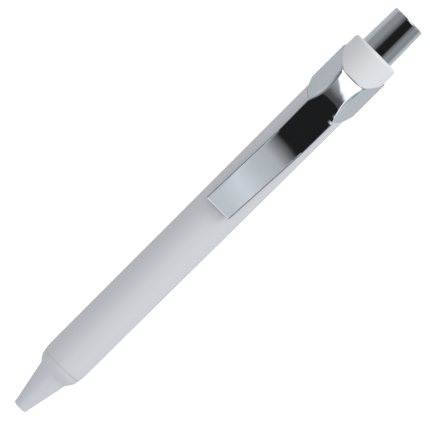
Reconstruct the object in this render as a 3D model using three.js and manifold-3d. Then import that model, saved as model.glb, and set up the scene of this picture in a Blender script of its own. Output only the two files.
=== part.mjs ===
// A retractable ballpoint pen lying on a table: button towards +X, clip on top (+Z), millimetres.
// Every piece is drawn about the pen's own axis, with x counted from the nose end, and the whole
// pen is moved at the end so that it is centred on x and rests on z = 0.
import * as THREE from "three";
import { mergeVertices, toCreasedNormals } from "three/addons/utils/BufferGeometryUtils.js";
import Module from "manifold-3d";

const wasm = await Module();
wasm.setup();
const { Manifold, Mesh } = wasm;

// ---------- driving dimensions, in mm ----------
const LENGTH = 140;
const FIT = 0.1; // gap between pieces that are assembled together
const SLIDE = 0.15; // gap between pieces that slide on each other

const NOSE_TIP_R = 2.1;
const NOSE_TIP_ROUND = 0.64;
const NOSE_MOUTH_R = 1.3; // hole that the point comes out of
const NOSE_MOUTH_END = 4.5;
const NOSE_BORE_R = 1.85;
const NOSE_STEP_X = 10; // step that carries the front of the spring
const NOSE_SPRING_R = 2.65; // bore around the spring
const CONE_END = 11.9;
const CONE_END_R = 4.34;
const HOLLOW_LENGTH = 0.42; // small hollow between the cone and the shoulder
const SEAM_X = 15.4; // joint between the nose and the barrel
const SEAM_R = 5.97;
const SPIGOT_R = 4.75;
const SPIGOT_END = 21.4;

const BARREL_FRONT_X = 18; // where the front rounding has died away
const BARREL_FRONT_R = 6.21;
const BARREL_REAR_X = 109.8;
const BARREL_REAR_R = 6.51;
const BARREL_ROUND_X = 17.2;
const BARREL_BORE_R = 4.9;

const HEX_APOTHEM = 6.42;
const HEX_CORNER_R = HEX_APOTHEM / Math.cos(Math.PI / 6);
const COLLAR_BORE_R = 5.85;
const COLLAR_FRONT_X = 110.7; // front end of the collar, level with the axis
const COLLAR_FRONT_SLOPE = 0.54; // how fast that end runs back below the axis
const COLLAR_CHAMFER_SLOPE = 0.506;
const RIM_FRONT_X = 119.15; // slanted joint of collar and cap, on the clip's side
const RIM_SLOPE = 0.754;
const RIM_BACK_X = 126.5;

const CLIP_END_X = 72.15;
const CLIP_THICK = 1.1;
const CLIP_ARC_R = 63;
const CLIP_TOP_ANGLE = (17.5 * Math.PI) / 180;
const CLIP_BLADE_ANGLE = (3.05 * Math.PI) / 180;
const CLIP_SKEW = 0.038; // how fast the straight part of the blade runs aside, towards +Y
const CLIP_WAIST_X = 114.3;
const CLIP_WAIST_HALF = 2.97;
const CLIP_SHOULDER_X = 108;
const CLIP_SHOULDER_HALF = 4.42;
const CLIP_END_HALF = 4.035;
const CLIP_BEVEL = 0.16;
const CLIP_END_ROUND = 0.12;
const SHOULDER_FOOT = 0.95; // how far the root's walls spread past the hexagon's corners
const BLADE_FILLET = 0.9; // extra depth of the blade where it leaves the root
const BLADE_FILLET_X = 103.5;
const CLIP_SPLIT_X = 107; // where the springing blade leaves its root
const CLIP_SPLIT_GAP = 0.3;

const CAP_R = 6.93;
const CAP_END_X = 128.35;
const CAP_ROUND = 0.5;
const CAP_SKIRT_R = COLLAR_BORE_R - FIT;
const CAP_BORE_R = 5.06;
const CAP_MOUTH_CHAMFER = 0.15;
const CAP_RIM_BEVEL = 0.9; // rise of the bevels that bring the cap's rim down to the hexagon
const NECK_R = CAP_BORE_R - FIT;
const NECK_FRONT_X = 97.5;
const NECK_STEP_X = 115;
const NECK_END_X = 118.4;

const BUTTON_BASE_R = 4.91;
const BUTTON_TOP_R = 4.71;
const BUTTON_ROUND = 0.5;
const BUTTON_FRONT_X = 124.6;
const BUTTON_WALL = 0.6;
const BUTTON_END_WALL = 1;

const GUIDE_R = 4.2;
const GUIDE_POCKET_R = GUIDE_R + 0.06;
const GUIDE_SEAT_R = 3.5;
const GUIDE_BORE_R = 3.75;
const GUIDE_LIP_R = 2.95;
const GUIDE_FRONT_X = 99;
const GUIDE_END_X = NECK_END_X - FIT;
const GUIDE_LIP_X = 117.3;
const POST_FRONT_X = 105.75;
const LUGS = 3;
const LUG_HALF_ANGLE = (6 * Math.PI) / 180;
const LUG_R = GUIDE_BORE_R - SLIDE;
const LUG_ROOT = 0.2; // how far a lug or post goes into the wall that carries it
const CAM_R = 2.75;
const TEETH = 6;
const TOOTH_DEPTH = 0.9;

const ROTOR_FRONT_X = 103;
const ROTOR_END_X = 110.4; // roots of the rotor's teeth
const ROTOR_SOCKET_X = 107;
const ROTOR_LUG_X = 106.2;
const PIN_R = 1.2;
const PIN_END_X = 114.2;
const PLUNGER_FRONT_X = 111.5; // tips of the plunger's teeth
const PLUNGER_LUG_X = 113.2;
const PLUNGER_BORE_END = 121;

const BALL_R = 0.35;
const BALL_X = 1.9;
const POINT_R = 1.1;
const POINT_FLANGE_X = 12;
const POINT_FLANGE_R = 1.45;
const POINT_FLANGE_END = 12.8;
const POINT_NECK_X = 5.2; // where the point's taper begins
const POINT_TAIL_X = 17;
const POINT_TAIL_R = 0.85;
const INK_CHANNEL_R = 0.2;
const HOLDER_R = 1.6;
const HOLDER_CHANNEL_R = 0.7;
const SPRING_SEAT_X = 32.1;
const SPRING_SEAT_R = 2.35;
const TUBE_FRONT_X = 33.1;
const TUBE_END_X = 106.9;
const TUBE_BORE_R = 1.15;
const INK_R = TUBE_BORE_R - 0.05;
const INK_FRONT_X = 37.3;
const INK_END_X = 88;
const FOLLOWER_END_X = 91;

const SPRING_FRONT_X = 10.2;
const SPRING_R = 2.15;
const WIRE_R = 0.2;
const SPRING_TURNS = 11;

// ---------- materials ----------
const finish = (color, roughness, metalness) =>
  new THREE.MeshStandardMaterial({ color, roughness, metalness });
const whitePlastic = finish(0xdcdee2, 0.32, 0);
const greyPlastic = finish(0xc9ccd2, 0.34, 0);
const innerPlastic = finish(0xf1f1ee, 0.5, 0);
const rotorPlastic = finish(0xd8d4c8, 0.5, 0);
const chrome = finish(0xc8cbcf, 0.08, 1);
const springSteel = finish(0xa9adb2, 0.25, 1);
const nickel = finish(0xb8b4a8, 0.22, 1);
const carbide = finish(0x80838a, 0.2, 1);
const tubePlastic = finish(0xe8eaee, 0.4, 0);
const ink = finish(0x14296b, 0.35, 0);
const grease = finish(0xd9cfa6, 0.45, 0);

// ---------- solids ----------
const solidOf = (geometry) => {
  geometry.deleteAttribute("normal");
  if (geometry.getAttribute("uv")) geometry.deleteAttribute("uv");
  const merged = mergeVertices(geometry, 1e-5);
  const p = merged.getAttribute("position").array;
  const t = Array.from(merged.index.array);
  // a sliver whose corners have merged is dropped, and a piece that is inside out is turned
  const kept = [];
  for (let i = 0; i < t.length; i += 3) {
    const [a, b, c] = t.slice(i, i + 3);
    if (a !== b && b !== c && a !== c) kept.push(a, b, c);
  }
  const corner = (n) => new THREE.Vector3(p[3 * n], p[3 * n + 1], p[3 * n + 2]);
  let volume = 0;
  for (let i = 0; i < kept.length; i += 3) {
    volume += corner(kept[i]).dot(corner(kept[i + 1]).cross(corner(kept[i + 2])));
  }
  if (volume < 0) {
    for (let i = 0; i < kept.length; i += 3) [kept[i], kept[i + 1]] = [kept[i + 1], kept[i]];
  }
  const vertProperties = new Float32Array(p);
  const triVerts = new Uint32Array(kept);
  return new Manifold(new Mesh({ numProp: 3, vertProperties, triVerts }));
};

// Turns a list of [x, r] about the pen's axis. The list starts and ends on the axis or closes.
const turned = (profile, segments = 48) => {
  const points = profile.map(([x, r]) => new THREE.Vector2(r, x));
  return solidOf(new THREE.LatheGeometry(points, segments).rotateZ(-Math.PI / 2));
};
const rod = (x0, x1, r, segments = 48) => turned([[x0, 0], [x0, r], [x1, r], [x1, 0]], segments);
const tube = (x0, x1, outer, inner, segments = 48) =>
  turned([[x0, inner], [x0, outer], [x1, outer], [x1, inner], [x0, inner]], segments);
const box = (x0, x1, y0, y1, z0, z1) => {
  const geometry = new THREE.BoxGeometry(x1 - x0, y1 - y0, z1 - z0);
  return solidOf(geometry.translate((x0 + x1) / 2, (y0 + y1) / 2, (z0 + z1) / 2));
};
// Points of an arc about [x, r], from one angle to another.
const round = (x, r, radius, from, to, steps = 4) =>
  Array.from({ length: steps + 1 }, (_, i) => {
    const a = from + ((to - from) * i) / steps;
    return [x + radius * Math.cos(a), r + radius * Math.sin(a)];
  });
// Copies of a part about the pen's axis, as one solid.
const ringOf = (count, part) => {
  let all = part(0);
  for (let i = 1; i < count; i++) all = all.add(part((i * 360) / count));
  return all;
};
// Extrudes a polygon in the XZ plane across y.
const slab = (outline, y0, y1) => {
  const shape = new THREE.Shape(outline.map(([x, z]) => new THREE.Vector2(x, z)));
  const geometry = new THREE.ExtrudeGeometry(shape, { depth: y1 - y0, bevelEnabled: false });
  return solidOf(geometry.rotateX(Math.PI / 2).translate(0, y1, 0));
};

const pen = new THREE.Group();
pen.name = "ballpoint_pen";
const addPiece = (name, solid, material) => {
  const { numProp, vertProperties, triVerts } = solid.getMesh();
  const geometry = new THREE.BufferGeometry();
  const places = new Float32Array((vertProperties.length / numProp) * 3);
  for (let i = 0; i < places.length / 3; i++) {
    places.set(vertProperties.subarray(i * numProp, i * numProp + 3), i * 3);
  }
  geometry.setAttribute("position", new THREE.BufferAttribute(places, 3));
  geometry.setIndex(new THREE.BufferAttribute(new Uint32Array(triVerts), 1));
  const mesh = new THREE.Mesh(toCreasedNormals(geometry, 0.5), material);
  mesh.name = name;
  pen.add(mesh);
};

// ---------- nose ----------
// A slender cone that flares through a small hollow into a sloping, rounded shoulder. Its spigot screws
// into the barrel, and a step in its bore carries the front of the return spring.
const shoulderX = CONE_END + HOLLOW_LENGTH;
const shoulderR = CONE_END_R + 0.16;
const shoulder = Array.from({ length: 9 }, (_, i) => {
  const t = i / 8;
  return [shoulderX + (SEAM_X - shoulderX) * t, shoulderR + (SEAM_R - shoulderR) * t * (2 - t)];
});
addPiece(
  "nose_cone",
  turned([
    [NOSE_MOUTH_END, NOSE_MOUTH_R],
    [0.25, NOSE_MOUTH_R],
    [0, NOSE_MOUTH_R + 0.15],
    ...round(NOSE_TIP_ROUND, NOSE_TIP_R - NOSE_TIP_ROUND, NOSE_TIP_ROUND, Math.PI, 0.62 * Math.PI),
    [0.95, NOSE_TIP_R + 0.03],
    [CONE_END, CONE_END_R],
    [CONE_END + 0.25, CONE_END_R + 0.07],
    ...shoulder,
    [SEAM_X, SPIGOT_R],
    [SPIGOT_END, SPIGOT_R],
    [SPIGOT_END, NOSE_SPRING_R],
    [NOSE_STEP_X, NOSE_SPRING_R],
    [NOSE_STEP_X, NOSE_BORE_R],
    [NOSE_MOUTH_END + 0.4, NOSE_BORE_R],
    [NOSE_MOUTH_END, NOSE_MOUTH_R],
  ]),
  greyPlastic,
);

// ---------- barrel ----------
// A tube with a little draft. Its rear end is cut slantwise under the collar, and a stepped neck
// goes on inside the collar and the cap.
const barrelDraft = (BARREL_REAR_R - BARREL_FRONT_R) / (BARREL_REAR_X - BARREL_FRONT_X);
const barrelAt = (x) => BARREL_FRONT_R + barrelDraft * (x - BARREL_FRONT_X);
// All that is behind a slanted plane, which crosses the axis at x.
const behindSlant = (x, slope) => {
  const reach = 12;
  return slab([
    [x + slope * reach, -reach],
    [LENGTH + reach, -reach],
    [LENGTH + reach, reach],
    [x - slope * reach, reach],
  ], -reach, reach);
};
const barrelSkin = turned([
  [SEAM_X + FIT, BARREL_BORE_R],
  [SEAM_X + FIT, SEAM_R],
  [SEAM_X + 0.35, SEAM_R + 0.07],
  [SEAM_X + 0.95, SEAM_R + 0.16],
  [BARREL_ROUND_X, BARREL_FRONT_R - 0.01],
  [BARREL_FRONT_X + 0.5, barrelAt(BARREL_FRONT_X + 0.5)],
  [NECK_END_X, barrelAt(NECK_END_X)],
  [NECK_END_X, BARREL_BORE_R],
  [SEAM_X + FIT, BARREL_BORE_R],
]).subtract(behindSlant(COLLAR_FRONT_X - FIT, COLLAR_FRONT_SLOPE));
const neck = turned([
  [NECK_END_X, GUIDE_POCKET_R],
  [NECK_END_X, NECK_R],
  [NECK_STEP_X, NECK_R],
  [NECK_STEP_X, CAP_SKIRT_R],
  [NECK_FRONT_X, CAP_SKIRT_R],
  [NECK_FRONT_X, GUIDE_SEAT_R],
  [GUIDE_FRONT_X - 0.2, GUIDE_SEAT_R],
  [GUIDE_FRONT_X - 0.2, GUIDE_POCKET_R],
  [NECK_END_X, GUIDE_POCKET_R],
]);
addPiece("barrel", barrelSkin.add(neck), whitePlastic);

// ---------- collar and clip ----------
// The clip's outer face is one arc that rises from the cap's rim, then a straight blade that
// comes down towards the barrel. Its front outline is pinched to a waist above the shoulders.
const arcX = RIM_FRONT_X - CLIP_ARC_R * Math.sin(CLIP_TOP_ANGLE);
const arcZ = HEX_APOTHEM - CLIP_ARC_R * Math.cos(CLIP_TOP_ANGLE);
const bladeX = arcX - CLIP_ARC_R * Math.sin(CLIP_BLADE_ANGLE);
const bladeZ = arcZ + CLIP_ARC_R * Math.cos(CLIP_BLADE_ANGLE);
const clipTop = (x) =>
  x > bladeX
    ? arcZ + Math.sqrt(CLIP_ARC_R ** 2 - (x - arcX) ** 2)
    : bladeZ - (bladeX - x) * Math.tan(CLIP_BLADE_ANGLE);
const waistBend = (CLIP_SHOULDER_HALF - CLIP_WAIST_HALF) / (CLIP_WAIST_X - CLIP_SHOULDER_X) ** 2;
const topBend = (HEX_CORNER_R / 2 - 0.05 - CLIP_WAIST_HALF) / (RIM_FRONT_X - CLIP_WAIST_X) ** 2;
const clipHalf = (x) => {
  if (x < CLIP_SHOULDER_X) {
    const share = (x - CLIP_END_X) / (CLIP_SHOULDER_X - CLIP_END_X);
    return CLIP_END_HALF + (CLIP_SHOULDER_HALF - CLIP_END_HALF) * share;
  }
  return CLIP_WAIST_HALF + (x < CLIP_WAIST_X ? waistBend : topBend) * (x - CLIP_WAIST_X) ** 2;
};
// A bar through cross-sections, each a closed list of [y, z] at its own x.
const barThrough = (sections) => {
  const count = sections[0].points.length;
  const places = [];
  for (const { x, points } of sections) for (const [y, z] of points) places.push(x, y, z);
  const faces = [];
  for (let s = 0; s + 1 < sections.length; s++) {
    for (let i = 0; i < count; i++) {
      const j = (i + 1) % count;
      const [a, b, c, d] = [s * count + i, s * count + j, (s + 1) * count + j, (s + 1) * count + i];
      faces.push(a, b, c, a, c, d);
    }
  }
  const last = (sections.length - 1) * count;
  for (let i = 1; i + 1 < count; i++) {
    faces.push(0, i + 1, i, last, last + i, last + i + 1);
  }
  const geometry = new THREE.BufferGeometry();
  geometry.setAttribute("position", new THREE.BufferAttribute(new Float32Array(places), 3));
  geometry.setIndex(faces);
  return solidOf(geometry);
};
const evenly = (from, to, count) =>
  Array.from({ length: count + 1 }, (_, i) => from + ((to - from) * i) / count);

// The root's side walls come down to a line on the hexagon's side faces: it runs along the
// hexagon's corners as far as the waist, then bends outwards to the shoulders.
const ROOT_BASE_Z = 4.3;
const ROOT_SINK = 0.02; // how far that line lies inside the hexagon
const rootFoot = (x) => {
  const past = Math.max(0, (CLIP_WAIST_X - x) / (CLIP_WAIST_X - CLIP_SHOULDER_X));
  const spread = SHOULDER_FOOT * Math.min(1, past) ** 2;
  return [
    HEX_CORNER_R / 2 - ROOT_SINK + spread,
    HEX_APOTHEM - ROOT_SINK - spread * Math.sqrt(3),
  ];
};
const rootSection = (x) => {
  const top = clipTop(x);
  const half = clipHalf(x);
  const bevel = Math.min(CLIP_BEVEL, 0.3 * (top - HEX_APOTHEM) + 0.01);
  const [footY, footZ] = rootFoot(x);
  return {
    x,
    points: [
      [-footY, ROOT_BASE_Z],
      [-footY, footZ],
      [-half - 0.6 * bevel, top - bevel],
      [-half + 0.4 * bevel, top],
      [half - 0.4 * bevel, top],
      [half + 0.6 * bevel, top - bevel],
      [footY, footZ],
      [footY, ROOT_BASE_Z],
    ],
  };
};
const bladeSection = (x) => {
  const top = clipTop(x);
  const half = clipHalf(x);
  const fillet = Math.max(0, (x - BLADE_FILLET_X) / (CLIP_SPLIT_X - BLADE_FILLET_X));
  const under = top - CLIP_THICK - BLADE_FILLET * fillet ** 2;
  const b = CLIP_BEVEL;
  return {
    x,
    points: [
      [-half + b, under],
      [-half, under + b],
      [-half, top - b],
      [-half + b, top],
      [half - b, top],
      [half, top - b],
      [half, under + b],
      [half - b, under],
    ],
  };
};
const splitFront = CLIP_SPLIT_X - CLIP_SPLIT_GAP / 2;
const splitRear = CLIP_SPLIT_X + CLIP_SPLIT_GAP / 2;
const root = barThrough(evenly(splitRear, RIM_FRONT_X, 18).map(rootSection));

// Hexagonal ring with a flat on top. Its front end is chamfered to the barrel's size and leans.
const CHAMFER_LENGTH = 6;
const hexagon = new THREE.Shape(
  Array.from({ length: 6 }, (_, i) => {
    const a = (i * Math.PI) / 3;
    return new THREE.Vector2(HEX_CORNER_R * Math.cos(a), HEX_CORNER_R * Math.sin(a));
  }),
);
const hexBlank = solidOf(
  new THREE.ExtrudeGeometry(hexagon, { depth: LENGTH - COLLAR_FRONT_X, bevelEnabled: false })
    .rotateX(Math.PI / 2)
    .rotateZ(Math.PI / 2)
    .translate(COLLAR_FRONT_X, 0, 0),
);
const chamferStart = barrelAt(COLLAR_FRONT_X);
const chamferEnd = chamferStart + CHAMFER_LENGTH * COLLAR_CHAMFER_SLOPE;
const chamferCone = turned([
  [COLLAR_FRONT_X - 1, 0],
  [COLLAR_FRONT_X - 1, chamferStart - COLLAR_CHAMFER_SLOPE],
  [COLLAR_FRONT_X + CHAMFER_LENGTH, chamferEnd],
  [LENGTH, chamferEnd],
  [LENGTH, 0],
], 72);
// Moves each point towards the nose in proportion to its height: columns of a 4 by 4 matrix.
const lean = [[1, 0, 0, 0], [0, 1, 0, 0], [-COLLAR_FRONT_SLOPE, 0, 1, 0], [0, 0, 0, 1]].flat();
const leaningRing = hexBlank.intersect(chamferCone).transform(lean);
// The space in front of the root and under the blade, down to the collar's leaning end.
const splitUnder = clipTop(splitRear) - CLIP_THICK - BLADE_FILLET;
const underBlade = slab([
  [NECK_FRONT_X, 0],
  [COLLAR_FRONT_X, 0],
  [COLLAR_FRONT_X - COLLAR_FRONT_SLOPE * HEX_APOTHEM, HEX_APOTHEM],
  [splitRear, splitUnder],
  [NECK_FRONT_X, splitUnder],
], -8, 8);
const barrelClearance = rod(NECK_FRONT_X, LENGTH, chamferStart + 0.08, 72)
  .subtract(behindSlant(COLLAR_FRONT_X, COLLAR_FRONT_SLOPE));
// All that is behind the slanted rim where collar and cap meet.
const CUT_REACH = 20;
const behindRim = slab([
  [RIM_FRONT_X - RIM_SLOPE * CUT_REACH, HEX_APOTHEM + CUT_REACH],
  [RIM_BACK_X, HEX_APOTHEM - (RIM_BACK_X - RIM_FRONT_X) / RIM_SLOPE],
  [RIM_BACK_X, -CUT_REACH],
  [LENGTH + CUT_REACH, -CUT_REACH],
  [LENGTH + CUT_REACH, HEX_APOTHEM + CUT_REACH],
], -CUT_REACH, CUT_REACH);
addPiece(
  "clip_collar",
  leaningRing
    .add(root)
    .subtract(underBlade)
    .subtract(barrelClearance)
    .subtract(rod(NECK_FRONT_X, LENGTH, COLLAR_BORE_R, 64))
    .subtract(behindRim),
  chrome,
);
const bladeStations = [
  ...evenly(CLIP_END_X + CLIP_END_ROUND, bladeX, 6),
  ...evenly(bladeX, splitFront, 8).slice(1),
];
const bladeTip = bladeSection(CLIP_END_X + CLIP_END_ROUND);
const tipMiddleZ = clipTop(CLIP_END_X) - CLIP_THICK / 2;
bladeTip.x = CLIP_END_X;
bladeTip.points = bladeTip.points.map(([y, z]) => [
  y - Math.sign(y) * CLIP_END_ROUND,
  z - Math.sign(z - tipMiddleZ) * CLIP_END_ROUND,
]);
const askew = ({ x, points }) => {
  const aside = CLIP_SKEW * Math.max(0, bladeX - x);
  return { x, points: points.map(([y, z]) => [y + aside, z]) };
};
const bladeSections = [bladeTip, ...bladeStations.map(bladeSection)].map(askew);
addPiece("clip_blade", barThrough(bladeSections), chrome);

// ---------- cap ----------
// Its rim follows the collar's slanted end, and its skirt goes over the barrel's neck. Flat bevels
// bring the rim down to the hexagon's three upper faces.
const capRound = turned([
  [NECK_STEP_X, CAP_BORE_R],
  [NECK_STEP_X, CAP_R],
  ...round(CAP_END_X - CAP_ROUND, CAP_R - CAP_ROUND, CAP_ROUND, Math.PI / 2, 0, 5),
  [CAP_END_X, CAP_BORE_R + CAP_MOUTH_CHAMFER],
  [CAP_END_X - CAP_MOUTH_CHAMFER, CAP_BORE_R],
  [NECK_STEP_X, CAP_BORE_R],
]);
const bevelled = (solid, faceAngle) => {
  const normal = new THREE.Vector3(
    -CAP_RIM_BEVEL,
    Math.sin(faceAngle),
    Math.cos(faceAngle) - CAP_RIM_BEVEL * RIM_SLOPE,
  );
  const rimX = RIM_FRONT_X + FIT + RIM_SLOPE * HEX_APOTHEM;
  const reach = (HEX_APOTHEM - CAP_RIM_BEVEL * rimX) / normal.length();
  return solid.trimByPlane(normal.normalize().negate().toArray(), -reach);
};
const capShell = [-Math.PI / 3, 0, Math.PI / 3]
  .reduce(bevelled, capRound)
  .intersect(behindRim.translate([FIT, 0, 0]));
const capSkirt = tube(NECK_STEP_X + FIT, CAP_END_X - 1, CAP_SKIRT_R, CAP_BORE_R);
addPiece("top_cap", capShell.add(capSkirt), whitePlastic);

// ---------- button and click mechanism ----------
const buttonDraft = (BUTTON_BASE_R - BUTTON_TOP_R) / (LENGTH - CAP_END_X);
const buttonRoundX = LENGTH - BUTTON_ROUND;
const buttonRoundR = BUTTON_TOP_R - BUTTON_ROUND;
const buttonBore = BUTTON_BASE_R - BUTTON_WALL;
const buttonEndBore = BUTTON_TOP_R - BUTTON_WALL;
const buttonFloorX = LENGTH - BUTTON_END_WALL;
addPiece(
  "push_button",
  turned([
    [BUTTON_FRONT_X, buttonBore],
    [BUTTON_FRONT_X, BUTTON_BASE_R],
    [CAP_END_X, BUTTON_BASE_R],
    [buttonRoundX, BUTTON_TOP_R + buttonDraft * BUTTON_ROUND],
    ...round(buttonRoundX, buttonRoundR, BUTTON_ROUND, Math.PI / 2, 0, 5).slice(1),
    [LENGTH, 0],
    [buttonFloorX, 0],
    [buttonFloorX, buttonEndBore],
    [CAP_END_X + 2, buttonBore - 0.05],
    [BUTTON_FRONT_X, buttonBore],
  ]),
  chrome,
);

// A lug or post: a block at one angle about the axis, trimmed to a band of radius.
const lug = (x0, x1, inner, outer, halfAngle) => {
  const band = tube(x0, x1, outer, inner);
  const half = Math.sin(halfAngle) * outer;
  return band.intersect(box(x0 - 1, x1 + 1, -half, half, inner * 0.7, outer + 1));
};
const lugRing = (x0, x1, inner, outer, phase) =>
  ringOf(LUGS, (turn) => lug(x0, x1, inner, outer, LUG_HALF_ANGLE).rotate([turn + phase, 0, 0]));
// V notches that turn the end of a tube into a ring of teeth.
const toothNotches = (rootX, tipX) =>
  ringOf(TEETH, (turn) => {
    const half = (Math.PI * CAM_R) / TEETH;
    const clearX = tipX + 3 * Math.sign(tipX - rootX);
    const shape = new THREE.Shape([
      new THREE.Vector2(rootX, 0),
      new THREE.Vector2(tipX, half),
      new THREE.Vector2(clearX, half),
      new THREE.Vector2(clearX, -half),
      new THREE.Vector2(tipX, -half),
    ]);
    const notch = new THREE.ExtrudeGeometry(shape, { depth: 2 * CAM_R, bevelEnabled: false });
    return solidOf(notch).rotate([turn, 0, 0]);
  });

addPiece(
  "guide_sleeve",
  turned([
    [GUIDE_FRONT_X, GUIDE_BORE_R],
    [GUIDE_FRONT_X, GUIDE_R],
    [GUIDE_END_X, GUIDE_R],
    [GUIDE_END_X, GUIDE_LIP_R],
    [GUIDE_LIP_X, GUIDE_LIP_R],
    [GUIDE_LIP_X, GUIDE_BORE_R],
    [GUIDE_FRONT_X, GUIDE_BORE_R],
  ]).add(lugRing(POST_FRONT_X, GUIDE_LIP_X + LUG_ROOT, GUIDE_LIP_R, GUIDE_BORE_R + LUG_ROOT, 60)),
  innerPlastic,
);
addPiece(
  "plunger",
  turned([
    [PLUNGER_FRONT_X, PIN_R + SLIDE],
    [PLUNGER_FRONT_X, CAM_R],
    [BUTTON_FRONT_X + 0.3, CAM_R],
    [BUTTON_FRONT_X + 0.3, buttonBore - FIT],
    [CAP_END_X + 2, buttonBore - 0.05 - FIT],
    [buttonFloorX - FIT, buttonEndBore - FIT],
    [buttonFloorX - FIT, 0],
    [PLUNGER_BORE_END, 0],
    [PLUNGER_BORE_END, PIN_R + SLIDE],
    [PLUNGER_FRONT_X, PIN_R + SLIDE],
  ])
    .subtract(toothNotches(PLUNGER_FRONT_X + TOOTH_DEPTH, PLUNGER_FRONT_X))
    .add(lugRing(PLUNGER_LUG_X, GUIDE_LIP_X - 0.3, CAM_R - LUG_ROOT, LUG_R, 0)),
  innerPlastic,
);
addPiece(
  "cam_rotor",
  turned([
    [ROTOR_FRONT_X, HOLDER_R + FIT],
    [ROTOR_FRONT_X, CAM_R],
    [ROTOR_END_X + TOOTH_DEPTH, CAM_R],
    [ROTOR_END_X + TOOTH_DEPTH, 0],
    [ROTOR_SOCKET_X, 0],
    [ROTOR_SOCKET_X, HOLDER_R + FIT],
    [ROTOR_FRONT_X, HOLDER_R + FIT],
  ])
    .subtract(toothNotches(ROTOR_END_X, ROTOR_END_X + TOOTH_DEPTH))
    .add(rod(ROTOR_SOCKET_X + 1, PIN_END_X, PIN_R, 32))
    .add(lugRing(ROTOR_LUG_X, ROTOR_END_X, CAM_R - LUG_ROOT, LUG_R, 0)),
  rotorPlastic,
);

// ---------- return spring ----------
class Coil extends THREE.Curve {
  getPoint(t, target = new THREE.Vector3()) {
    const closed = 0.09; // share of the wire in each closed end turn
    const rise = Math.min(1, Math.max(0, (t - closed) / (1 - 2 * closed)));
    const ends = Math.min(t, closed) + Math.max(0, t - 1 + closed);
    const pitch = (2 * WIRE_R + 0.02) * SPRING_TURNS;
    const length = SPRING_SEAT_X - FIT - SPRING_FRONT_X - 2 * WIRE_R;
    const x = SPRING_FRONT_X + WIRE_R + ends * pitch + rise * (length - 2 * closed * pitch);
    const a = t * SPRING_TURNS * 2 * Math.PI;
    return target.set(x, SPRING_R * Math.cos(a), SPRING_R * Math.sin(a));
  }
}
const wire = new THREE.Shape(
  Array.from({ length: 5 }, (_, i) => {
    const a = (i * 2 * Math.PI) / 5;
    return new THREE.Vector2(WIRE_R * Math.cos(a), WIRE_R * Math.sin(a));
  }),
);
addPiece(
  "return_spring",
  solidOf(new THREE.ExtrudeGeometry(wire, { steps: SPRING_TURNS * 12, extrudePath: new Coil() })),
  springSteel,
);

// ---------- refill ----------
const BALL_GAP = 0.03;
const socket = round(BALL_X, 0, BALL_R + BALL_GAP, 0.62 * Math.PI, 0.2 * Math.PI, 6);
const [lipX, lipR] = socket[0];
addPiece(
  "refill_point",
  turned([
    ...socket,
    [BALL_X + 0.6, INK_CHANNEL_R],
    [POINT_TAIL_X, INK_CHANNEL_R],
    [POINT_TAIL_X, POINT_TAIL_R],
    [POINT_FLANGE_END, POINT_TAIL_R],
    [POINT_FLANGE_END, POINT_FLANGE_R],
    [POINT_FLANGE_X, POINT_FLANGE_R],
    [POINT_FLANGE_X, POINT_R],
    [POINT_NECK_X, POINT_R],
    [lipX, lipR + 0.06],
    [lipX, lipR],
  ], 32),
  nickel,
);
const ballProfile = round(BALL_X, 0, BALL_R, Math.PI, 0, 10);
ballProfile[0][1] = 0;
ballProfile[10][1] = 0;
addPiece("writing_ball", turned(ballProfile, 20), carbide);
addPiece(
  "tip_holder",
  turned([
    [POINT_FLANGE_END + 0.05, POINT_TAIL_R + 0.05],
    [POINT_FLANGE_END + 0.05, HOLDER_R - 0.2],
    [POINT_FLANGE_END + 0.8, HOLDER_R],
    [SPRING_SEAT_X, HOLDER_R],
    [SPRING_SEAT_X, SPRING_SEAT_R],
    [TUBE_FRONT_X - FIT, SPRING_SEAT_R],
    [TUBE_FRONT_X - FIT, INK_R],
    [INK_FRONT_X - 0.2, INK_R],
    [INK_FRONT_X - 0.2, HOLDER_CHANNEL_R],
    [POINT_TAIL_X + 0.4, HOLDER_CHANNEL_R],
    [POINT_TAIL_X + 0.4, POINT_TAIL_R + 0.05],
    [POINT_FLANGE_END + 0.05, POINT_TAIL_R + 0.05],
  ], 32),
  tubePlastic,
);
addPiece("refill_tube", tube(TUBE_FRONT_X, TUBE_END_X, HOLDER_R, TUBE_BORE_R, 32), tubePlastic);
addPiece("ink_column", rod(INK_FRONT_X, INK_END_X, INK_R, 24), ink);
addPiece("ink_follower", rod(INK_END_X + 0.05, FOLLOWER_END_X, INK_R, 24), grease);

// ---------- placed on the table ----------
const object = new THREE.Group();
object.name = "retractable_ballpoint_pen";
pen.position.set(-LENGTH / 2, 0, CAP_R);
object.add(pen);

export default object;
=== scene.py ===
"""A retractable ballpoint pen: the looks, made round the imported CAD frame.

Shapes are worked out in the pen's own coordinates, in mm: x from the nose end along the axis, y and z
about the axis, with the clip at +z. placed() turns them into the row frame, in metres.
"""

import math

import bmesh
import bpy
import numpy as np
from mathutils import Matrix, Vector


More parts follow.
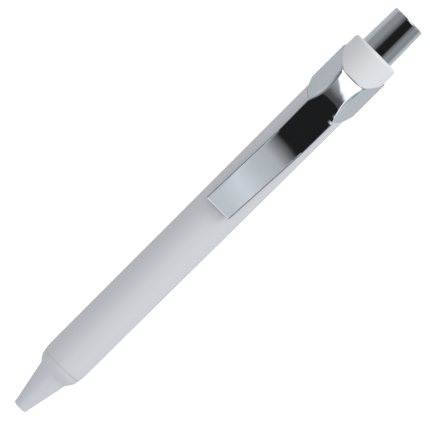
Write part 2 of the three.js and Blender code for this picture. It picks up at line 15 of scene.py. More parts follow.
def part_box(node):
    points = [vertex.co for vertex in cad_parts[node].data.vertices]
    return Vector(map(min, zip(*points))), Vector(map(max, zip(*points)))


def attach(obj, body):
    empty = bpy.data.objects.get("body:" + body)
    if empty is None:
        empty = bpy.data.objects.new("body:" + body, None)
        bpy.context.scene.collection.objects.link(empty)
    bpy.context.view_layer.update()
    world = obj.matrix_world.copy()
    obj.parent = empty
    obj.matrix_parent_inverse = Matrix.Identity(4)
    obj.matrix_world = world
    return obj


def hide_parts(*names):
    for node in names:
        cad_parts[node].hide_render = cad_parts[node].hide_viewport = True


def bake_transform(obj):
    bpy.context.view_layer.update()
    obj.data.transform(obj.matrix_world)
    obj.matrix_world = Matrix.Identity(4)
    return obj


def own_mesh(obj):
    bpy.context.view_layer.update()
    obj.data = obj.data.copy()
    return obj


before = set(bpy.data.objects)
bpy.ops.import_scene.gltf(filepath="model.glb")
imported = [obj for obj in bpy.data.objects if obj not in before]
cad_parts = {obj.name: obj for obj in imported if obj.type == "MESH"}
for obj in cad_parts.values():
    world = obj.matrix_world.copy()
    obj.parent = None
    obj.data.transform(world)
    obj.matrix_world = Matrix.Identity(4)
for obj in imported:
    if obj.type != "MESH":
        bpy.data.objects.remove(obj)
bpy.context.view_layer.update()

# ---------- the pen's own coordinates ----------
MM = 0.001
CAP_LOW, CAP_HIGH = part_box("top_cap")
TIP_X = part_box("nose_cone")[0].x  # metres, where x = 0 mm
AXIS_Z = (CAP_LOW.z + CAP_HIGH.z) / 2  # metres, height of the axis

LENGTH = 140.0
NOSE_TIP_R, NOSE_TIP_ROUND, CONE_END, CONE_END_R = 2.1, 0.64, 11.9, 4.34
SEAM_X, SEAM_R = 15.4, 5.97
SPIGOT_R, SPIGOT_END = 4.75, 21.4
BARREL_FRONT_R, BARREL_REAR_R = 6.21, 6.51
BARREL_BORE_R = 4.9
HEX_APOTHEM = 6.42
HEX_HALF_SIDE = HEX_APOTHEM / math.sqrt(3)
COLLAR_BORE_R = 5.85
COLLAR_FRONT_X, COLLAR_FRONT_SLOPE, COLLAR_CHAMFER_SLOPE = 110.7, 0.54, 0.506
RIM_FRONT_X, RIM_SLOPE, RIM_BACK_X = 119.15, 0.754, 126.5
CLIP_END_X, CLIP_THICK, CLIP_SKEW = 72.15, 1.1, 0.038
CLIP_CROWN, CLIP_BELOW_CAD = 0.0065, 0.006
CLIP_ARC_R, CLIP_TOP_ANGLE, CLIP_BLADE_ANGLE = 63.0, math.radians(17.5), math.radians(3.05)
CLIP_WAIST_X, CLIP_WAIST_HALF = 114.3, 2.97
CLIP_SHOULDER_X, CLIP_SHOULDER_HALF, CLIP_END_HALF = 108.0, 4.42, 4.035
SHOULDER_FOOT = 0.95
HEX_ROUND, RIM_ROUND, END_CORNER_R = 0.22, 0.22, 0.45
CAP_R, CAP_END_X, CAP_BORE_R, CAP_RIM_BEVEL = 6.93, 128.35, 5.06, 0.9
NECK_STEP_X, NECK_END_X, NECK_BORE_R = 115.0, 118.4, 4.26
STOP_FRONT_X, STOP_BACK_X, STOP_R = 97.5, 98.8, 3.5  # the ring inside the barrel, ahead of the neck
FIT = 0.1
RIM_GAP = 0.03  # between the collar's slanted rim and the cap's, and at the seams
BUTTON_BASE_R, BUTTON_TOP_R, BUTTON_FRONT_X = 4.91, 4.71, 124.6
SPRING_FRONT_X, SPRING_END_X, SPRING_R, WIRE_R, SPRING_TURNS = 10.2, 32.0, 2.15, 0.19, 11
STROKE, THREAD_PITCH = 6.0, 1.5


def placed(points):
    """Points of the pen's own coordinates, in mm, as row frame points in metres."""
    p = np.asarray(points, float).reshape(-1, 3) * MM
    return p + np.array([TIP_X, 0.0, AXIS_Z])


def at(x, y, z):
    return Vector(placed([x, y, z])[0])


def barrel_radius(x):
    return BARREL_FRONT_R + (BARREL_REAR_R - BARREL_FRONT_R) * (x - 18) / (109.8 - 18)


# ---------- mesh making ----------
def new_piece(name, points, faces, normals=None):
    mesh = bpy.data.meshes.new(name)
    mesh.from_pydata(placed(points).tolist(), [], faces)
    mesh.validate()
    mesh.polygons.foreach_set("use_smooth", [True] * len(mesh.polygons))
    if normals is None:
        mesh.set_sharp_from_angle(angle=math.radians(38))
    else:
        mesh.normals_split_custom_set_from_vertices(normals.tolist())
    mesh.update()
    piece = bpy.data.objects.new(name, mesh)
    bpy.context.scene.collection.objects.link(piece)
    return piece


def rounded(outline, radii, steps=5):
    """A closed outline of (x, r) points whose corners are arcs. radii maps a corner's number to its
    radius."""
    made = []
    count = len(outline)
    for i, corner in enumerate(outline):
        radius = radii.get(i, 0)
        here = np.array(corner, float)
        if not radius:
            made.append(tuple(here))
            continue
        before = np.array(outline[i - 1], float) - here
        after = np.array(outline[(i + 1) % count], float) - here
        a, b = before / np.linalg.norm(before), after / np.linalg.norm(after)
        half = math.acos(np.clip(a @ b, -1, 1)) / 2
        middle = here + (a + b) / np.linalg.norm(a + b) * radius / math.sin(half)
        first = here + a * radius / math.tan(half) - middle
        last = here + b * radius / math.tan(half) - middle
        sweep = math.pi - 2 * half
        for k in range(steps + 1):
            w = k / steps
            mix = (math.sin((1 - w) * sweep) * first + math.sin(w * sweep) * last) / math.sin(sweep)
            made.append(tuple(middle + mix))
    return made


def turned(name, outline, segments=144, shape=None):
    """A closed outline of (x, r) turned about the axis. shape(x, angle, r) may change the radius."""
    x, r = np.array(outline, float).T
    angle = np.arange(segments) * 2 * math.pi / segments
    xs, angles = np.meshgrid(x, angle, indexing="ij")
    rs = np.repeat(r[:, None], segments, 1)
    if shape:
        rs = shape(xs, angles, rs)
    points = np.stack([xs, rs * np.sin(angles), rs * np.cos(angles)], -1).reshape(-1, 3)
    faces = []
    count = len(x)
    for i in range(count):
        j = (i + 1) % count
        for k in range(segments):
            n = (k + 1) % segments
            faces.append((i * segments + k, j * segments + k, j * segments + n, i * segments + n))
    return tidy(new_piece(name, points, faces))


def tidy(piece):
    """Joins points that meet, such as those on the axis, and turns the faces outwards."""
    work = bmesh.new()
    work.from_mesh(piece.data)
    bmesh.ops.remove_doubles(work, verts=work.verts, dist=1e-8)
    bmesh.ops.dissolve_degenerate(work, edges=work.edges, dist=1e-9)
    bmesh.ops.recalc_face_normals(work, faces=work.faces)
    work.to_mesh(piece.data)
    work.free()
    piece.data.polygons.foreach_set("use_smooth", [True] * len(piece.data.polygons))
    piece.data.set_sharp_from_angle(angle=math.radians(38))
    return piece


def smooth_max(a, b, k):
    return np.maximum(a, b) + np.maximum(k - np.abs(a - b), 0) ** 2 / (4 * k)


def smooth_min(a, b, k):
    return -smooth_max(-a, -b, k)


def surface_of(name, field, low, high, step, skip=None):
    """The surface where field(x, y, z) is 0, as an even mesh of quads whose points lie on it and whose
    normals are the field's own. field is negative inside. skip(x, y, z) is true where there is nothing."""
    axes = [np.arange(a - s, b + 2 * s, s) for a, b, s in zip(low, high, step)]
    size = [len(a) for a in axes]
    x, y, z = np.meshgrid(*axes, indexing="ij")
    value = np.ones(size, np.float32)
    used = np.ones(size, bool) if skip is None else ~skip(x, y, z)
    value[used] = field(x[used], y[used], z[used])
    inside = value < 0
    total = np.zeros([n - 1 for n in size] + [3])
    hits = np.zeros([n - 1 for n in size])
    sides = []
    for axis in range(3):
        first = [slice(None)] * 3
        last = [slice(None)] * 3
        first[axis], last[axis] = slice(0, -1), slice(1, None)
        first, last = tuple(first), tuple(last)
        cut = inside[first] != inside[last]
        sides.append(cut)
        a, b = value[first][cut], value[last][cut]
        where = np.argwhere(cut)
        spot = where.astype(float)
        spot[:, axis] += a / (a - b)
        for i in (0, 1):
            for j in (0, 1):
                cell = where.copy()
                others = [n for n in range(3) if n != axis]
                cell[:, others[0]] -= i
                cell[:, others[1]] -= j
                cell = np.clip(cell, 0, np.array(total.shape[:3]) - 1)
                np.add.at(total, tuple(cell.T), spot)
                np.add.at(hits, tuple(cell.T), 1)
    live = hits > 0
    number = np.full(live.shape, -1)
    number[live] = np.arange(live.sum())
    grid = total[live] / hits[live][:, None]
    start = np.array([a[0] for a in axes])
    points = start + grid * np.array(step)
    faces = []
    for axis, cut in enumerate(sides):
        others = [n for n in range(3) if n != axis]
        where = np.argwhere(cut)
        corner = []
        for i, j in ((0, 0), (1, 0), (1, 1), (0, 1)):
            cell = where.copy()
            cell[:, others[0]] -= i
            cell[:, others[1]] -= j
            corner.append(number[tuple(cell.T)])
        quads = np.stack(corner, 1)
        turn = inside[tuple(where.T)] == (axis == 1)
        quads[turn] = quads[turn][:, ::-1]
        faces.append(quads)
    faces = np.concatenate(faces)
    # Each point is moved onto the surface along the field's slope.
    for _ in range(4):
        slope, here = slope_of(field, points)
        move = (here / np.maximum((slope**2).sum(1), 0.2))[:, None] * slope
        length = np.linalg.norm(move, axis=1, keepdims=True)
        points = points - move * np.minimum(1, 0.5 * min(step) / np.maximum(length, 1e-9))
    slope, _ = slope_of(field, points)
    normals = slope / np.maximum(np.linalg.norm(slope, axis=1, keepdims=True), 1e-9)
    return new_piece(name, points, faces.tolist(), normals)


def slope_of(field, points, reach=0.012):
    here = field(*points.T)
    slope = np.zeros_like(points)
    for axis in range(3):
        step = np.zeros(3)
        step[axis] = reach
        slope[:, axis] = (field(*(points + step).T) - field(*(points - step).T)) / (2 * reach)
    return slope, here


# ---------- collar and clip ----------
ARC_X = RIM_FRONT_X - CLIP_ARC_R * math.sin(CLIP_TOP_ANGLE)
ARC_Z = HEX_APOTHEM - CLIP_ARC_R * math.cos(CLIP_TOP_ANGLE)
BLADE_X = ARC_X - CLIP_ARC_R * math.sin(CLIP_BLADE_ANGLE)
BLADE_Z = ARC_Z + CLIP_ARC_R * math.cos(CLIP_BLADE_ANGLE)


def clip_top(x):
    arc = ARC_Z + np.sqrt(np.maximum(CLIP_ARC_R**2 - (x - ARC_X) ** 2, 1))
    return np.where(x > BLADE_X, arc, BLADE_Z - (BLADE_X - x) * math.tan(CLIP_BLADE_ANGLE))


def clip_half(x):
    share = (x - CLIP_END_X) / (CLIP_SHOULDER_X - CLIP_END_X)
    blade = CLIP_END_HALF + (CLIP_SHOULDER_HALF - CLIP_END_HALF) * share
    waist = (CLIP_SHOULDER_HALF - CLIP_WAIST_HALF) / (CLIP_WAIST_X - CLIP_SHOULDER_X) ** 2
    top = (HEX_HALF_SIDE - 0.05 - CLIP_WAIST_HALF) / (RIM_FRONT_X - CLIP_WAIST_X) ** 2
    bend = np.where(x < CLIP_WAIST_X, waist, top)
    root = CLIP_WAIST_HALF + bend * (x - CLIP_WAIST_X) ** 2
    return smooth_min(blade, np.where(x < CLIP_SHOULDER_X - 2, 9.0, root), 0.25)


def collar_and_clip(x, y, z):
    """Negative inside the one metal piece that is the hexagonal collar, the clip's root and its blade."""
    side = np.abs(y)
    r = np.hypot(y, z)
    hexagon = np.abs(z) - HEX_APOTHEM
    slanted = side * math.cos(math.pi / 6) + np.abs(z) * 0.5 - HEX_APOTHEM
    hexagon = smooth_max(hexagon, slanted, HEX_ROUND)
    hexagon = smooth_max(hexagon, 0.5 * (side * math.sqrt(3) + np.abs(z)) - HEX_APOTHEM, HEX_ROUND)
    lean = x + COLLAR_FRONT_SLOPE * z
    cone = r - (barrel_radius(COLLAR_FRONT_X) + COLLAR_CHAMFER_SLOPE * (lean - COLLAR_FRONT_X))
    front = (COLLAR_FRONT_X - lean) / math.hypot(1, COLLAR_FRONT_SLOPE)
    ring = smooth_max(hexagon, cone / math.hypot(1, COLLAR_CHAMFER_SLOPE), 0.16)
    ring = np.maximum(ring, front)

    # The straight part of the blade runs a little aside.
    side = np.abs(y - CLIP_SKEW * np.maximum(BLADE_X - x, 0))
    crown = CLIP_CROWN * y**2 * np.clip((RIM_FRONT_X - x) / 7, 0, 1)
    top, half = clip_top(x) - CLIP_BELOW_CAD - crown, clip_half(x)
    past = np.clip((CLIP_WAIST_X - x) / (CLIP_WAIST_X - CLIP_SHOULDER_X), 0, 1)
    foot_y = HEX_HALF_SIDE - 0.02 + SHOULDER_FOOT * past**2
    foot_z = HEX_APOTHEM - (foot_y - HEX_HALF_SIDE) * math.sqrt(3)
    ahead = x < CLIP_SHOULDER_X
    foot_y = np.where(ahead, half + 0.24, foot_y)
    drop, out = np.maximum(top - foot_z, 0.02), foot_y - half
    wall = ((side - half) * drop + (z - top) * out) / np.hypot(drop, out)
    wall = smooth_max(wall, side - foot_y, 0.06)
    face = (z - top) * 0.985
    sides = smooth_max(face, wall, 0.34)
    under = (clip_top(x) - CLIP_THICK) - z
    below = smooth_min(under, front, 1.6)
    clip = smooth_max(sides, below, 0.22)
    end = smooth_max(CLIP_END_X - x, clip, 0.3)
    # The blade's end corners are a little round.
    past_side = np.maximum(side - (CLIP_END_HALF - END_CORNER_R), 0)
    past_end = np.maximum(CLIP_END_X + END_CORNER_R - x, 0)
    corner = np.hypot(past_side, past_end) - END_CORNER_R
    clip = smooth_max(end, np.where(x < CLIP_END_X + 1, corner, -9), 0.1)

    whole = smooth_min(ring, clip, 0.07)
    slant = x - (RIM_FRONT_X + RIM_SLOPE * (HEX_APOTHEM - z))
    whole = smooth_max(whole, slant / math.hypot(1, RIM_SLOPE), RIM_ROUND)
    whole = smooth_max(whole, x - RIM_BACK_X, 0.3)
    return smooth_max(whole, COLLAR_BORE_R - r, 0.1)


def nothing_near_blade(x, y, z):
    return (x < 104) & ((z < 5.2) | (np.abs(y) > 5.6))


def make_collar_and_clip():
    low = [CLIP_END_X, -HEX_HALF_SIDE * 2, -HEX_APOTHEM]
    high = [RIM_BACK_X, HEX_HALF_SIDE * 2, 9.6]
    step = [0.2, 0.13, 0.13]
    piece = surface_of("collar_and_clip", collar_and_clip, low, high, step, nothing_near_blade)
    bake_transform(piece)
    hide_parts("clip_collar", "clip_blade")
    return piece


# ---------- cap ----------
def cap_field(x, y, z):
    r = np.hypot(y, z)
    shell = smooth_max(r - CAP_R, x - CAP_END_X, 1.1)
    slant = (RIM_FRONT_X + RIM_GAP + RIM_SLOPE * (HEX_APOTHEM - z)) - x
    hexagon = np.maximum(z, np.abs(y) * math.cos(math.pi / 6) + z / 2) - HEX_APOTHEM
    shell = smooth_max(shell, (hexagon + CAP_RIM_BEVEL * slant) / math.hypot(1, CAP_RIM_BEVEL), 0.12)
    rim = slant / math.hypot(1, RIM_SLOPE)
    rim = np.where(z < 0, np.minimum(rim, RIM_BACK_X + FIT - x), rim)
    shell = smooth_max(shell, rim, 0.12)
    skirt = np.maximum(np.maximum(r - (COLLAR_BORE_R - FIT), x - (CAP_END_X - 1)), NECK_STEP_X + FIT - x)
    whole = np.minimum(shell, skirt)
    return smooth_max(whole, CAP_BORE_R - r, 0.3)


def make_cap():
    piece = surface_of(
        "cap", cap_field, [NECK_STEP_X, -CAP_R, -CAP_R], [CAP_END_X, CAP_R, CAP_R], [0.13, 0.13, 0.13]
    )
    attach(piece, "pen_body")
    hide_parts("top_cap")
    return piece


# ---------- barrel, nose and button ----------
def make_barrel():
    """The rear end is cut slantwise under the collar, so its points are moved back by their height."""
    reach = COLLAR_FRONT_X - RIM_GAP
    outline = [
        (SEAM_X + RIM_GAP, BARREL_BORE_R),
        (SEAM_X + RIM_GAP, SEAM_R - 0.05),
        (SEAM_X + 0.1, SEAM_R + 0.01),
        (SEAM_X + 0.55, SEAM_R + 0.105),
        (SEAM_X + 1.1, SEAM_R + 0.175),
        (SEAM_X + 1.9, SEAM_R + 0.23),
        (SEAM_X + 3.0, barrel_radius(18.4)),
        *[(x, barrel_radius(x)) for x in np.linspace(22, 100, 10)],
        (reach, barrel_radius(reach)),
        (reach, COLLAR_BORE_R - FIT),
        (NECK_STEP_X, COLLAR_BORE_R - FIT),
        (NECK_STEP_X, CAP_BORE_R - FIT),
        (NECK_END_X, CAP_BORE_R - FIT),
        (NECK_END_X, NECK_BORE_R),
        (STOP_BACK_X, NECK_BORE_R),
        (STOP_BACK_X, STOP_R),
        (STOP_FRONT_X, STOP_R),
        (STOP_FRONT_X, BARREL_BORE_R),
    ]
    piece = turned("barrel_tube", outline, 160)
    for v in piece.data.vertices:
        x = (v.co.x - TIP_X) / MM
        if abs(x - reach) < 0.01:
            v.co.x -= COLLAR_FRONT_SLOPE * (v.co.z - AXIS_Z)
    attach(piece, "pen_body")
    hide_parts("barrel")
    return piece


def thread(x, angle, r):
    """A rounded, right-handed screw thread on the spigot."""
    turn = (x / THREAD_PITCH + angle / (2 * math.pi)) % 1
    ridge = 0.1 * np.cos(2 * math.pi * turn)
    fade = np.clip((x - SEAM_X - 0.9) / 0.5, 0, 1) * np.clip((SPIGOT_END - 0.3 - x) / 0.5, 0, 1)
    on_spigot = (r > SPIGOT_R - 0.06) & (r < SPIGOT_R + 0.01)
    return np.where(on_spigot, r - 0.04 + ridge * fade, r)


def make_nose():
    start_x, start_r = CONE_END + 0.42, CONE_END_R + 0.16
    middle_r = NOSE_TIP_R - NOSE_TIP_ROUND
    cone_x = 0.95
    tip = [
        (NOSE_TIP_ROUND * (1 + math.cos(a)), middle_r + NOSE_TIP_ROUND * math.sin(a))
        for a in np.linspace(math.pi, 0.62 * math.pi, 9)
    ]
    cone = [
        (x, NOSE_TIP_R + 0.02 + (CONE_END_R - NOSE_TIP_R - 0.02) * (x - cone_x) / (CONE_END - cone_x))
        for x in np.linspace(cone_x, CONE_END - 0.2, 9)
    ]
    swell = [
        (start_x + (SEAM_X - start_x) * t, start_r + (SEAM_R - 0.02 - start_r) * t * (2 - t))
        for t in np.linspace(0, 1, 18)
    ]
    outline = [
        (4.5, 1.3),
        (0.25, 1.3),
        (0.01, 1.44),
        *tip,
        *cone,
        (CONE_END + 0.1, CONE_END_R + 0.03),
        (CONE_END + 0.3, CONE_END_R + 0.08),
        *swell,
        (SEAM_X - 0.02, SPIGOT_R),
        *[(x, SPIGOT_R) for x in np.linspace(SEAM_X + 0.4, SPIGOT_END - 0.4, 44)],
        (SPIGOT_END, SPIGOT_R - 0.25),
        (SPIGOT_END, 2.65),
        (10, 2.65),
        (10, 1.85),
        (4.9, 1.85),
    ]
    piece = turned("nose_section", outline, 128, thread)
    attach(piece, "nose")
    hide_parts("nose_cone")
    return piece


def make_button():
    bore = BUTTON_BASE_R - 0.6
    outline = rounded(
        [
            (BUTTON_FRONT_X, bore),
            (BUTTON_FRONT_X, BUTTON_BASE_R),
            (CAP_END_X, BUTTON_BASE_R),
            (LENGTH, BUTTON_TOP_R),
            (LENGTH, 0.0),
            (LENGTH - 1, 0.0),
            (LENGTH - 1, BUTTON_TOP_R - 0.6),
            (CAP_END_X + 2, bore - 0.05),
        ],
        {1: 0.15, 3: 0.5},
        8,
    )
    piece = turned("button_sleeve", outline, 144)
    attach(piece, "button")
    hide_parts("push_button")
    return piece


# ---------- inside ----------
def make_spring():
    """The coil with closed, ground end turns. It gets a mesh of its own."""
    around, steps = 10, SPRING_TURNS * 40
    t = np.linspace(0, 1, steps + 1)
    closed = 0.09
    pitch = (2 * WIRE_R + 0.02) * SPRING_TURNS
    rise = np.clip((t - closed) / (1 - 2 * closed), 0, 1)
    ends = np.minimum(t, closed) + np.maximum(0, t - 1 + closed)
    length = SPRING_END_X - SPRING_FRONT_X - 2 * WIRE_R
    x = SPRING_FRONT_X + WIRE_R + ends * pitch + rise * (length - 2 * closed * pitch)
    a = t * SPRING_TURNS * 2 * math.pi
    points = []
    for k in range(around):
        b = 2 * math.pi * k / around
        r = SPRING_R + WIRE_R * math.cos(b)
        points.append(np.stack([x + WIRE_R * math.sin(b), r * np.cos(a), r * np.sin(a)], 1))
    points = np.stack(points, 1).reshape(-1, 3)
    faces = []
    for i in range(steps):
        for k in range(around):
            n = (k + 1) % around
            faces.append((i * around + k, i * around + n, (i + 1) * around + n, (i + 1) * around + k))
    faces.append(tuple(range(around)))
    faces.append(tuple(reversed(range(steps * around, (steps + 1) * around))))
    piece = tidy(new_piece("spring_coil", points, faces))
    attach(piece, "spring")
    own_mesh(piece)
    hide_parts("return_spring")
    return piece


# ---------- materials ----------
class Tree:
    """Short names for making a material's nodes."""

    def __init__(self, name):
        self.material = bpy.data.materials.new(name)
        self.material.use_nodes = True
        self.nodes = self.material.node_tree.nodes
        self.shader = self.nodes["Principled BSDF"]
        self.coordinates = self.add("ShaderNodeTexCoord").outputs["Object"]

    def add(self, kind, **values):
        node = self.nodes.new(kind)
        for key, value in values.items():
            setattr(node, key, value)
        return node

    def link(self, source, target):
        self.material.node_tree.links.new(source, target)

    def noise(self, per_mm, detail=3.0, stretch=(1, 1, 1)):
        """Noise from 0 to 1 with so many blobs to a millimetre."""
        place = self.add("ShaderNodeMapping")
        place.inputs["Scale"].default_value = [s * per_mm / MM for s in stretch]
        self.link(self.coordinates, place.inputs["Vector"])
        noise = self.add("ShaderNodeTexNoise")
        noise.inputs["Scale"].default_value = 1.0
        noise.inputs["Detail"].default_value = detail
        self.link(place.outputs["Vector"], noise.inputs["Vector"])
        return noise.outputs["Fac"]

    def spread(self, value, low, high):
        """A noise value turned into a range."""
        node = self.add("ShaderNodeMapRange")
        node.inputs["From Min"].default_value = 0.3
        node.inputs["From Max"].default_value = 0.7
        node.inputs["To Min"].default_value = low
        node.inputs["To Max"].default_value = high
        self.link(value, node.inputs["Value"])
        return node.outputs["Result"]

    def colour(self, value, dark, light):
        node = self.add("ShaderNodeMix", data_type="RGBA")
        node.inputs["A"].default_value = (*dark, 1)
        node.inputs["B"].default_value = (*light, 1)
        self.link(self.spread(value, 0, 1), node.inputs["Factor"])
        self.link(node.outputs["Result"], self.shader.inputs["Base Color"])

    def bump(self, value, height_mm):
        node = self.add("ShaderNodeBump")
        node.inputs["Strength"].default_value = 1.0
        node.inputs["Distance"].default_value = height_mm * MM
        self.link(value, node.inputs["Height"])
        self.link(node.outputs["Normal"], self.shader.inputs["Normal"])

    def roughness(self, value, low, high):
        self.link(self.spread(value, low, high), self.shader.inputs["Roughness"])


def plastic(name, dark, light, rough, grain_mm=0.0006):
    """Moulded plastic: a faint mottle, a soft gloss that varies, and the mould's fine grain."""
    t = Tree(name)
    t.colour(t.noise(0.06, 2, (0.4, 1, 1)), dark, light)
    t.roughness(t.noise(0.5, 4), *rough)
    t.bump(t.noise(3.2, 2), grain_mm)
    t.shader.inputs["IOR"].default_value = 1.5
    return t.material


def chrome_plate(name):
    """Bright plating over a moulded or pressed part: nearly a mirror, with faint waves and haze."""
    t = Tree(name)
    t.colour(t.noise(0.15, 3), (0.80, 0.815, 0.83), (0.84, 0.85, 0.86))
    t.roughness(t.noise(0.4, 5), 0.006, 0.012)
    t.bump(t.noise(0.16, 1), 0.0002)
    t.shader.inputs["Metallic"].default_value = 1.0
    return t.material


def bare_metal(name, dark, light, rough, stretch):
    """Turned or drawn metal, with its marks along or around the axis."""
    t = Tree(name)
    t.colour(t.noise(0.8, 3), dark, light)
    t.roughness(t.noise(4, 3, stretch), *rough)
    t.bump(t.noise(5, 2, stretch), 0.002)
    t.shader.inputs["Metallic"].default_value = 1.0
    return t.material


def clear_plastic(name):
    """Milky, half-clear tube."""
    t = Tree(name)
    t.colour(t.noise(0.1, 2), (0.84, 0.86, 0.88), (0.92, 0.93, 0.94))
    t.roughness(t.noise(0.6, 3), 0.18, 0.32)
    t.bump(t.noise(1.5, 2, (0.2, 1, 1)), 0.002)
    t.shader.inputs["Transmission Weight"].default_value = 0.55
    return t.material


def cover(piece, material):
    piece.data.materials.clear()
    piece.data.materials.append(material)


# ---------- the object ----------
white = plastic("white_plastic", (0.655, 0.68, 0.72), (0.67, 0.695, 0.735), (0.3, 0.42))
cap_white = plastic("cap_white", (0.75, 0.772, 0.80), (0.765, 0.787, 0.815), (0.26, 0.38))
grey = plastic("grey_plastic", (0.655, 0.675, 0.73), (0.67, 0.69, 0.745), (0.3, 0.42))
chrome = chrome_plate("chrome")
cover(make_collar_and_clip(), chrome)
cover(make_cap(), cap_white)
cover(make_barrel(), white)
cover(make_nose(), grey)
cover(make_button(), chrome)
spring_wire = bare_metal("spring_wire", (0.5, 0.51, 0.53), (0.62, 0.63, 0.65), (0.2, 0.34), (1, 3, 3))
cover(make_spring(), spring_wire)

inside = {
    "guide_sleeve": plastic("guide_acetal", (0.82, 0.82, 0.80), (0.88, 0.88, 0.86), (0.4, 0.55)),
    "plunger": plastic("plunger_acetal", (0.84, 0.84, 0.82), (0.9, 0.9, 0.88), (0.38, 0.52)),
    "cam_rotor": plastic("rotor_nylon", (0.7, 0.67, 0.6), (0.78, 0.75, 0.68), (0.4, 0.55)),
    "refill_point": bare_metal("nickel_silver", (0.6, 0.57, 0.5), (0.72, 0.69, 0.61), (0.16, 0.3), (6, 1, 1)),
    "writing_ball": bare_metal("carbide", (0.32, 0.33, 0.35), (0.45, 0.46, 0.48), (0.1, 0.2), (1, 1, 1)),
    "refill_tube": clear_plastic("refill_tube_plastic"),
    "tip_holder": plastic("holder_plastic", (0.8, 0.81, 0.83), (0.87, 0.88, 0.9), (0.3, 0.45)),
    "ink_column": plastic("ink", (0.02, 0.04, 0.2), (0.03, 0.07, 0.3), (0.25, 0.4)),
    "ink_follower": plastic("grease", (0.72, 0.65, 0.4), (0.82, 0.76, 0.52), (0.3, 0.45)),
}
for node, material in inside.items():
    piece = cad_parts[node]
    for place in range(len(piece.data.materials)):
        piece.data.materials[place] = material


# ---------- floor, light and surroundings ----------
def make_floor():
    bpy.ops.mesh.primitive_plane_add(size=6, location=(0, 0, -0.0003))
    floor = bpy.context.object
    floor.name = "floor"
    t = Tree("floor")
    t.colour(t.noise(0.002, 2), (0.9, 0.9, 0.9), (0.92, 0.92, 0.92))
    t.shader.inputs["Roughness"].default_value = 0.9
    t.shader.inputs["Emission Color"].default_value = (1, 1, 1, 1)
    t.shader.inputs["Emission Strength"].default_value = 0.9
    floor.data.materials.append(t.material)
    floor.visible_glossy = False
    floor.visible_diffuse = False


def make_lamp(name, place, size, power):
    lamp = bpy.data.lights.new(name, "AREA")
    lamp.shape = "SQUARE"
    lamp.size = size
    lamp.energy = power
    holder = bpy.data.objects.new(name, lamp)
    holder.location = place
    holder.rotation_mode = "QUATERNION"
    holder.rotation_quaternion = (-Vector(place)).to_track_quat("-Z", "Y")
    holder.visible_glossy = False
    holder.visible_camera = False
    bpy.context.scene.collection.objects.link(holder)


class Surroundings:
    """The studio by direction, in degrees: ax leans towards the button, ay goes round towards -Y."""

    def __init__(self):
        world = bpy.data.worlds.new("studio")
        bpy.context.scene.world = world
        world.use_nodes = True
        self.tree = world.node_tree
        self.tree.nodes.clear()
        parts = self.node("ShaderNodeSeparateXYZ")
        self.tree.links.new(self.node("ShaderNodeTexCoord").outputs["Generated"], parts.inputs[0])
        right = self.math("MULTIPLY", parts.outputs["Y"], -1.0)
        self.ax = self.math("DEGREES", self.math("ARCSINE", parts.outputs["X"]))
        self.ay = self.math("DEGREES", self.math("ARCTAN2", right, parts.outputs["Z"]))

    def node(self, kind):
        return self.tree.nodes.new(kind)

    def math(self, operation, a, b=None):
        node = self.node("ShaderNodeMath")
        node.operation = operation
        for place, value in enumerate((a, b)):
            if isinstance(value, (int, float)):
                node.inputs[place].default_value = value
            elif value is not None:
                self.tree.links.new(value, node.inputs[place])
        return node.outputs[0]

    def spread(self, value, low, high, smooth=True):
        node = self.node("ShaderNodeMapRange")
        node.interpolation_type = "SMOOTHSTEP" if smooth else "LINEAR"
        node.inputs["From Min"].default_value = low
        node.inputs["From Max"].default_value = high
        self.tree.links.new(value, node.inputs["Value"])
        return node.outputs["Result"]

    def band(self, value, low, high, soft):
        """1 between low and high, 0 outside, with soft edges."""
        falling = self.math("SUBTRACT", 1.0, self.spread(value, high - soft, high + soft))
        return self.math("MULTIPLY", self.spread(value, low - soft, low + soft), falling)

    def levels(self, value, stops):
        """A brightness by angle, through (angle, brightness) stops."""
        first, last = stops[0][0], stops[-1][0]
        ramp = self.node("ShaderNodeValToRGB")
        elements = ramp.color_ramp.elements
        while len(elements) < len(stops):
            elements.new(0.5)
        for element, (angle, level) in zip(elements, stops):
            element.position = (angle - first) / (last - first)
            element.color = (level, level, level, 1)
        self.tree.links.new(self.spread(value, first, last, False), ramp.inputs["Fac"])
        return ramp.outputs["Color"]

    def blend(self, share, below, above):
        """below where share is 0, above where it is 1."""
        change = self.math("MULTIPLY", share, self.math("SUBTRACT", above, below))
        return self.math("ADD", below, change)

    def show(self, level, share, tint):
        """Lights the world. The tint applies where share is 1."""
        background = self.node("ShaderNodeBackground")
        colour = self.node("ShaderNodeCombineColor")
        for name, amount in zip(("Red", "Green", "Blue"), tint):
            tinted = self.math("MULTIPLY", level, self.blend(share, 1.0, amount))
            self.tree.links.new(tinted, colour.inputs[name])
        self.tree.links.new(colour.outputs[0], background.inputs["Color"])
        output = self.node("ShaderNodeOutputWorld")
        self.tree.links.new(background.outputs[0], output.inputs["Surface"])


CARD_FRONT_END, CARD_REAR_END = -8.015, 19.7  # degrees of ax
CARD_MIDDLE = 3.6  # degrees of ay
CARD_HALF_WIDTH = 6.3
WHITE = 1.3


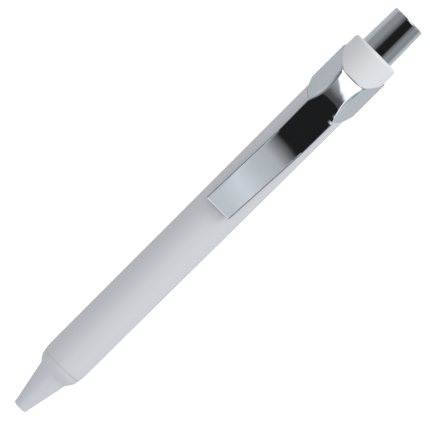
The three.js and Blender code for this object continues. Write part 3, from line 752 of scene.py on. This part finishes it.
def mirrored_studio(s):
    """What the chrome sees: a dark card overhead, white beyond its two ends and grey walls at its sides."""
    walls = s.levels(
        s.ay,
        [
            (-180, 0.60),
            (-120, 0.53),
            (-104, 0.48),
            (-92, 0.31),
            (-54, 0.30),
            (-40, 0.22),
            (-28, 0.14),
            (-22, 0.08),
            (-15, 0.014),
            (30, 0.014),
            (34, 0.05),
            (41, 0.17),
            (60, 0.29),
            (75, 0.31),
            (92, 0.26),
            (104, 0.36),
            (114, 0.52),
            (128, 0.60),
            (180, 0.62),
        ],
    )
    # The card's corners are round, so its ends draw in towards its sides.
    aside = s.math("MULTIPLY", s.math("SUBTRACT", s.ay, CARD_MIDDLE), 1 / CARD_HALF_WIDTH)
    square = s.math("MULTIPLY", aside, aside)
    fourth = s.math("MINIMUM", s.math("MULTIPLY", square, square), 3.0)
    eighth = s.math("MINIMUM", s.math("MULTIPLY", fourth, fourth), 3.0)
    front_x = s.math("SUBTRACT", s.ax, s.math("MULTIPLY", s.math("MULTIPLY", eighth, eighth), 0.12))
    front = s.levels(
        front_x,
        [
            (-90, 1.0),
            (-17, 1.0),
            (-12, 0.6),
            (-9.4, 0.62),
            (-9.12, 0.67),
            (-9.02, 0.75),
            (-8.82, 0.75),
            (-8.77, 0.63),
            (-8.4, 0.53),
            (-8.25, 0.48),
            (-8.1, 0.38),
            (-8.03, 0.31),
            (CARD_FRONT_END, 0.014),
        ],
    )
    beyond = s.math("MULTIPLY", s.math("LESS_THAN", front_x, CARD_FRONT_END), s.band(s.ay, -12, 20, 2))
    level = s.blend(beyond, walls, front)
    # The white beyond the card's rear end stands askew, with a wavy edge.
    rear_x = s.math("ADD", s.ax, s.math("MULTIPLY", fourth, 3.5))
    wave = s.math("MULTIPLY", s.math("SINE", s.math("MULTIPLY", s.ay, 2.0)), 0.5)
    slanting = s.math("MINIMUM", s.math("MULTIPLY", s.math("SUBTRACT", s.ay, 3.4), 1.3), 3.2)
    skew = s.math("ADD", slanting, wave)
    grey_stops = [(20.3, 0.075), (22.5, 0.1), (25.0, 0.26), (28.0, 0.4), (60, 0.4)]
    grey = s.levels(rear_x, [(CARD_REAR_END, 0.014), *grey_stops])
    white_share = s.spread(s.math("ADD", s.ax, skew), 26.4, 29.0)
    rear = s.blend(white_share, grey, WHITE)
    past_rear = s.math("GREATER_THAN", rear_x, CARD_REAR_END)
    behind = s.math("MULTIPLY", past_rear, s.band(s.ay, -16, 42, 4))
    level = s.blend(behind, level, rear)
    # Small lamps at one side, which the clip's rounded edge mirrors.
    for low, high in ((11.6, 12.9), (14.9, 16.8), (21.1, 25.0)):
        lit = s.math("MULTIPLY", s.band(s.ax, low, high, 0.3), s.band(s.ay, 9.6, 80, 1.5))
        level = s.blend(lit, level, WHITE)
    return level


def make_surroundings():
    s = Surroundings()
    path = s.node("ShaderNodeLightPath").outputs
    soft = s.levels(s.ay, [(-180, 0.68), (-60, 0.58), (-10, 0.88), (40, 0.86), (100, 0.74), (180, 0.72)])
    level = s.blend(path["Is Glossy Ray"], soft, mirrored_studio(s))
    level = s.blend(path["Is Camera Ray"], level, 1.0)
    s.show(level, path["Is Glossy Ray"], (0.94, 1.0, 1.065))


make_floor()
make_surroundings()
make_lamp("key", (1.0, -0.5, 0.42), 0.45, 4.4)


# ---------- camera ----------
VIEW_DISTANCE = 0.95
VIEW_ROLL = math.radians(3.6)  # how far the camera stands towards +Y of straight above
IMAGE_ANGLE = math.radians(44.8)  # the pen's direction in the picture
IMAGE_SIDE = 430
MM_PER_PIXEL = 0.2538
MIDDLE_X = 70.45  # mm along the pen at the picture's middle
AXIS_ABOVE_MIDDLE = 1.7  # pixels between the picture's middle and the axis there


def make_camera():
    data = bpy.data.cameras.new("camera")
    camera = bpy.data.objects.new("camera", data)
    bpy.context.scene.collection.objects.link(camera)
    bpy.context.scene.camera = camera
    above = Vector((0, math.sin(VIEW_ROLL), math.cos(VIEW_ROLL)))
    eye = at(CAP_END_X, 0, 0) + VIEW_DISTANCE * above
    target = at(MIDDLE_X, 0, 0)
    back = (eye - target).normalized()
    along = Vector((1, 0, 0))
    along = (along - along.dot(back) * back).normalized()
    across = back.cross(along)
    right = math.cos(IMAGE_ANGLE) * along - math.sin(IMAGE_ANGLE) * across
    up = math.sin(IMAGE_ANGLE) * along + math.cos(IMAGE_ANGLE) * across
    eye -= AXIS_ABOVE_MIDDLE * MM_PER_PIXEL * MM * up
    camera.matrix_world = Matrix.Translation(eye) @ Matrix((right, up, back)).transposed().to_4x4()
    data.sensor_width = 36
    data.lens = 36 * VIEW_DISTANCE / (IMAGE_SIDE * MM_PER_PIXEL * MM)
    data.clip_start, data.clip_end = 0.01, 20


make_camera()
bpy.context.scene.view_settings.view_transform = "Standard"
